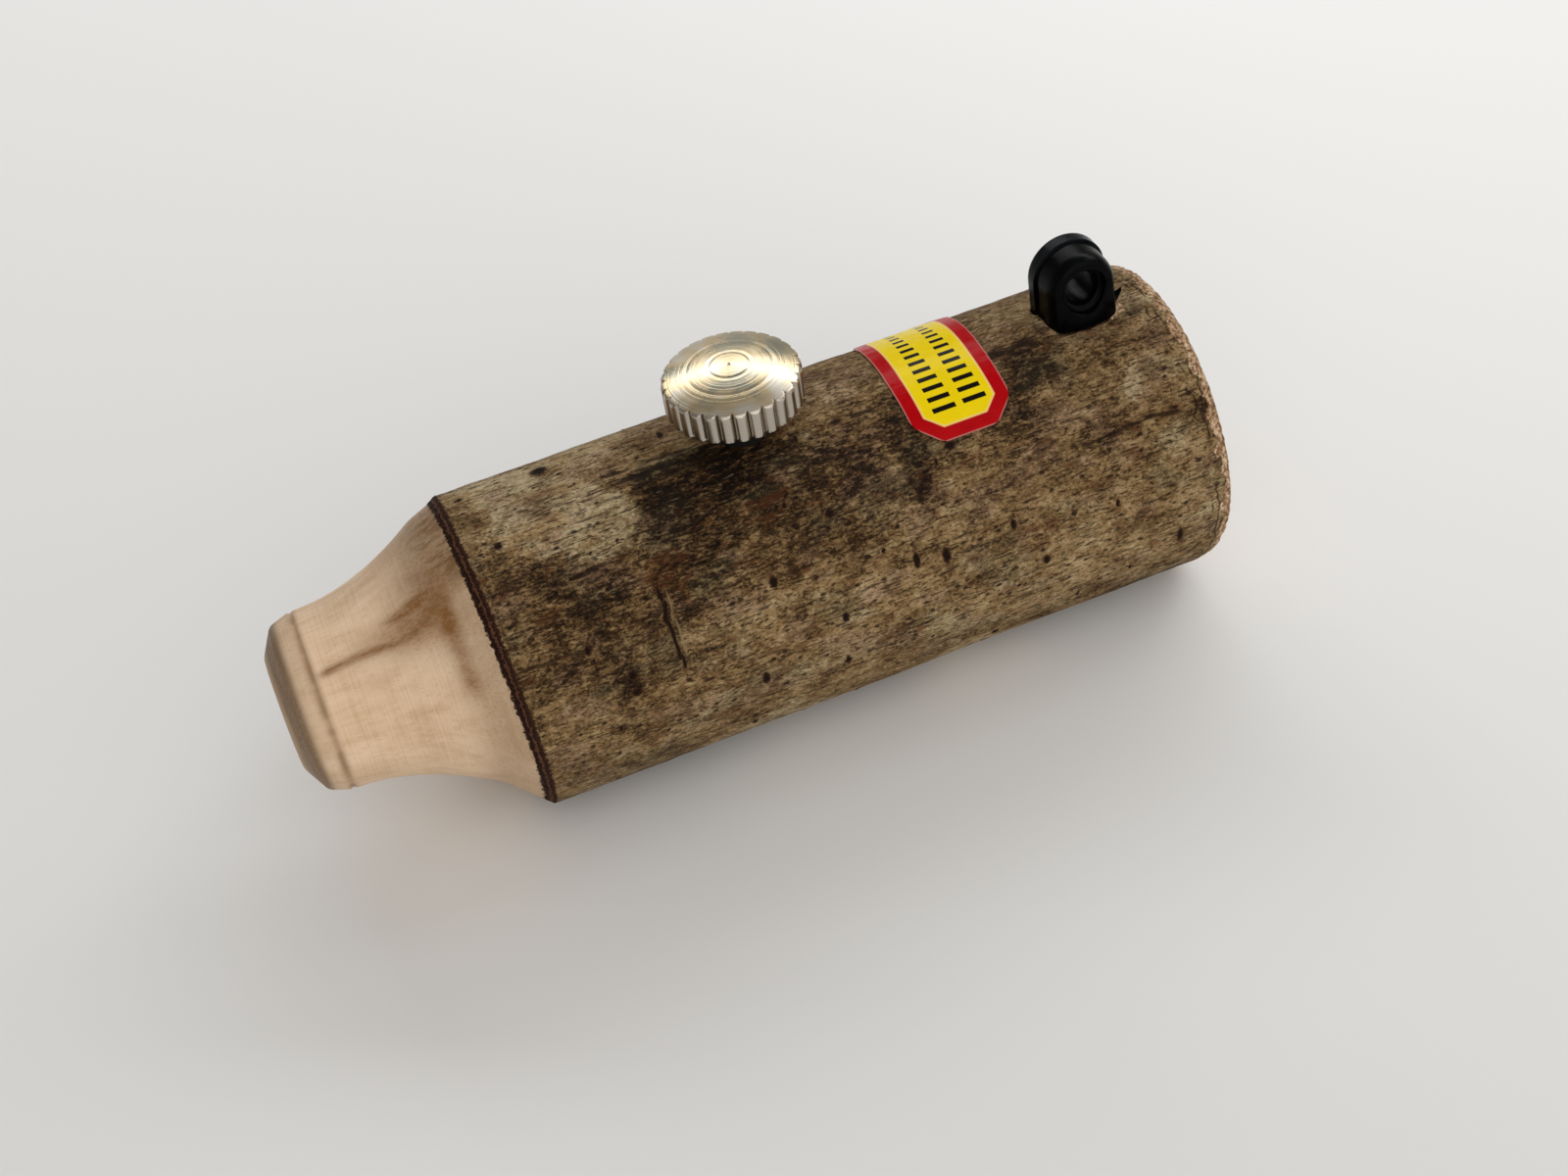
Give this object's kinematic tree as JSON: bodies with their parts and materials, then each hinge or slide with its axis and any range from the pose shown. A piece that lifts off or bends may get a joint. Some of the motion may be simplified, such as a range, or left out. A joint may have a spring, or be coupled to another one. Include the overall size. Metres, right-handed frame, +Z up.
{
  "type": "roe-deer call",
  "caption": "Pocket roe-deer call: a bark-covered hazel rod with a turned mouthpiece, an inner reed tuned by a fluted thumb screw, and a lanyard eye.",
  "frame": {"origin": "middle of the call's length, on the surface it lies on, under the rod's axis", "axes": "+X along the rod from the mouthpiece to the rear end, +Z up along the thumb screw"},
  "size_m": [0.0728, 0.025, 0.0307],
  "materials": {
    "hazel_bark": "natural hazel bark, matt and finely streaked; mouthpiece and ends bare pale wood",
    "nickel_plate": "nickel-plated brass with turned rings",
    "brass": "plain turned brass",
    "bronze": "thin rolled spring bronze",
    "steel": "zinc-plated steel",
    "black_rubber": "black rubber",
    "black_plastic": "moulded black plastic, half gloss",
    "grey_plastic": "moulded grey plastic",
    "label_paper": "varnished paper, red border on yellow, no words"
  },
  "bodies": {
    "call_body": {"wooden_body": "hazel_bark", "threaded_bush": "brass", "friction_ring": "black_rubber", "tone_board": "grey_plastic", "seal_ring": "black_rubber", "reed_clamp": "steel", "clamp_screw_near": "steel", "clamp_screw_far": "steel", "lanyard_eye": "black_plastic", "label": "label_paper"},
    "pad": {"pressure_pad": "brass"},
    "tuning_screw": {"screw_knob": "nickel_plate", "screw_stem": "nickel_plate"},
    "reed": {"reed_tongue": "bronze"}
  },
  "joints": [
    {"name": "pad_slide", "type": "slide", "parent": "call_body", "child": "pad", "axis": [0, 0, 1], "range_m": [-0.000416, 0.000416]},
    {"name": "screw_turn", "type": "hinge", "parent": "pad", "child": "tuning_screw", "pos_m": [0.00199, 0, 0.02755], "axis": [0, 0, 1], "range_deg": [-300, 300]},
    {"name": "reed_flex", "type": "hinge", "parent": "call_body", "child": "reed", "pos_m": [0.00815, 0, 0.0122], "axis": [0, 1, 0], "range_deg": [-3.9, 3.9]}
  ],
  "couplings": [
    {"joint": "screw_turn", "follows": "pad_slide", "rad_per_m": 12566},
    {"joint": "reed_flex", "follows": "pad_slide", "rad_per_m": 162.1}
  ]
}
